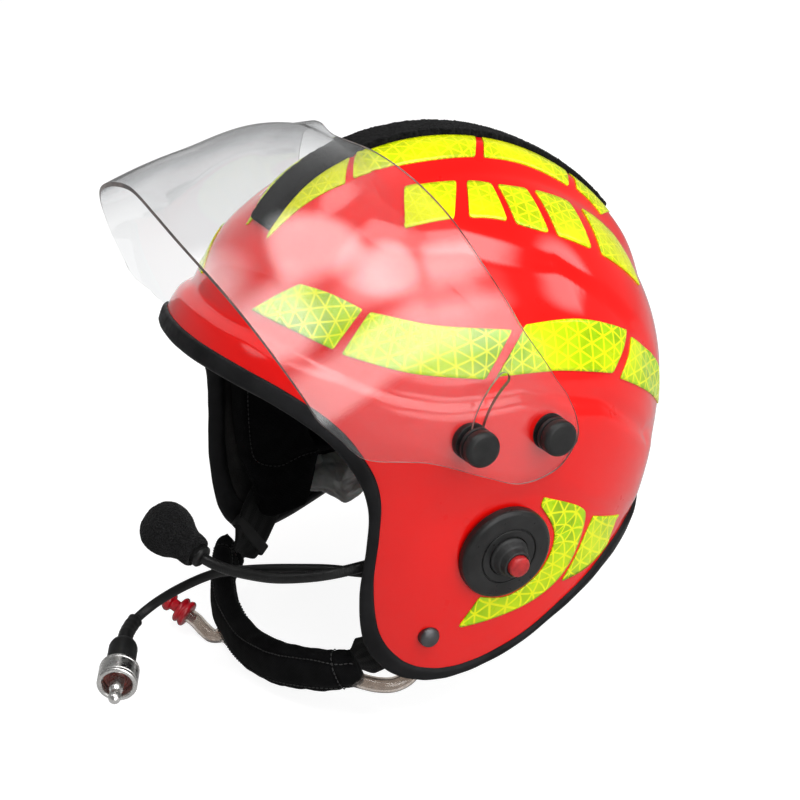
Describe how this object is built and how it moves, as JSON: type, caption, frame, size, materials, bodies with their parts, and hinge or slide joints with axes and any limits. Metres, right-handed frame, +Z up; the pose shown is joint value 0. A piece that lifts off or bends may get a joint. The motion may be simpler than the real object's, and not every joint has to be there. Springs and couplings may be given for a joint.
{
  "type": "marine safety helmet",
  "caption": "Open-face marine safety helmet with a raised clear visor, crown ridge, lime reflective tapes, padded lining, chin strap, inflatable nape bladder, boom microphone and talk switch.",
  "frame": {"origin": "middle of the flat seat under the crown pad, where the helmet rests on the head", "axes": "+Z up, the face looks towards -Y, +X is the wearer's left"},
  "size_m": [0.2616, 0.3288, 0.2926],
  "materials": {
    "black_plastic": "matte",
    "black_rubber": "satin",
    "bladder_film": "glossy film",
    "brass_insert": "turned",
    "button_red": "semi-matte",
    "dark_metal": "satin",
    "ear_leather": "soft satin",
    "edge_rubber": "matte",
    "foam_screen": "open foam",
    "fuzzy_strip": "fuzzy loops",
    "impact_foam": "matte",
    "pad_fabric": "matte neoprene",
    "plug_maroon": "gloss",
    "plug_metal": "satin nickel",
    "shell_red": "high gloss",
    "spring_steel": "plain",
    "strap_webbing": "woven",
    "tape_lime": "retroreflective",
    "tube_clear": "clear soft tube",
    "valve_red": "translucent",
    "visor_clear": "clear"
  },
  "bodies": {
    "helmet": {"shell": "shell_red", "edge_trim": "edge_rubber", "foam_liner": "impact_foam", "crown_pad": "pad_fabric", "brow_pad": "pad_fabric", "nape_bladder": "bladder_film", "left_cheek_pad": "pad_fabric", "right_cheek_pad": "pad_fabric", "left_ear_cup": "black_plastic", "right_ear_cup": "black_plastic", "left_speaker": "black_plastic", "right_speaker": "black_plastic", "left_ear_cushion": "ear_leather", "right_ear_cushion": "ear_leather", "hook_loop_strip": "fuzzy_strip", "crest_tapes": "tape_lime", "panel_tapes": "tape_lime", "side_tapes": "tape_lime", "ear_tapes": "tape_lime", "visor_inserts": "brass_insert", "visor_washers": "black_plastic", "switch_pod": "black_plastic", "switch_hub": "black_plastic", "button_spring": "spring_steel", "switch_body": "black_plastic", "pod_nut": "black_plastic", "blank_pod": "black_plastic", "strap_rivets": "dark_metal", "rivet_washers": "spring_steel", "feed_tube": "tube_clear", "boom_base": "black_plastic", "cable_gland": "black_plastic", "comms_cable": "black_rubber", "shrink_sleeve": "black_rubber", "plug_barrel": "black_plastic", "plug_ring": "plug_metal", "plug_insulator": "plug_maroon", "plug_pin": "plug_metal"},
    "visor": {"visor": "visor_clear"},
    "left_pivot_knob": {"left_pivot_knob": "black_plastic"},
    "right_pivot_knob": {"right_pivot_knob": "black_plastic"},
    "left_lock_knob": {"left_lock_knob": "black_plastic"},
    "right_lock_knob": {"right_lock_knob": "black_plastic"},
    "talk_button": {"talk_button": "button_red"},
    "mic_boom": {"mic_boom": "black_rubber", "boom_cuff": "black_plastic", "mic_capsule": "black_plastic", "mic_windscreen": "foam_screen"},
    "chin_strap": {"left_webbing": "strap_webbing", "right_webbing": "strap_webbing", "chin_sleeve": "pad_fabric", "strap_slider": "black_plastic", "inflation_tube": "tube_clear", "valve_body": "valve_red"},
    "mouthpiece": {"mouthpiece": "valve_red"}
  },
  "joints": [
    {"name": "visor_hinge", "type": "hinge", "parent": "helmet", "child": "visor", "pos_m": [0, 0.0158, -0.0852], "axis": [1, 0, 0], "range_deg": [0, 38]},
    {"name": "left_pivot_turn", "type": "hinge", "parent": "helmet", "child": "left_pivot_knob", "pos_m": [0.1216, 0.0158, -0.0852], "axis": [1, 0, 0], "range_deg": [0, 270]},
    {"name": "right_pivot_turn", "type": "hinge", "parent": "helmet", "child": "right_pivot_knob", "pos_m": [-0.1216, 0.0158, -0.0852], "axis": [-1, 0, 0], "range_deg": [0, 270]},
    {"name": "left_lock_turn", "type": "hinge", "parent": "helmet", "child": "left_lock_knob", "pos_m": [0.1216, -0.02731, -0.08249], "axis": [1, 0, 0], "range_deg": [0, 270]},
    {"name": "right_lock_turn", "type": "hinge", "parent": "helmet", "child": "right_lock_knob", "pos_m": [-0.1216, -0.02731, -0.08249], "axis": [-1, 0, 0], "range_deg": [0, 270]},
    {"name": "talk_press", "type": "slide", "parent": "helmet", "child": "talk_button", "axis": [-0.9903, 0, 0.1392], "range_m": [0, 0.0015], "stiffness_N_per_m": 400, "springref_m": -0.001},
    {"name": "boom_swing", "type": "hinge", "parent": "helmet", "child": "mic_boom", "pos_m": [0.0865, -0.046, -0.151], "axis": [-1, 0, 0], "range_deg": [0, 30]},
    {"name": "chin_swing", "type": "hinge", "parent": "helmet", "child": "chin_strap", "pos_m": [0, -0.043, -0.19], "axis": [1, 0, 0], "range_deg": [-5, 35]},
    {"name": "mouth_press", "type": "slide", "parent": "chin_strap", "child": "mouthpiece", "axis": [0.7106, 0.5405, -0.4504], "range_m": [0, 0.003], "stiffness_N_per_m": 300, "springref_m": -0.001}
  ]
}
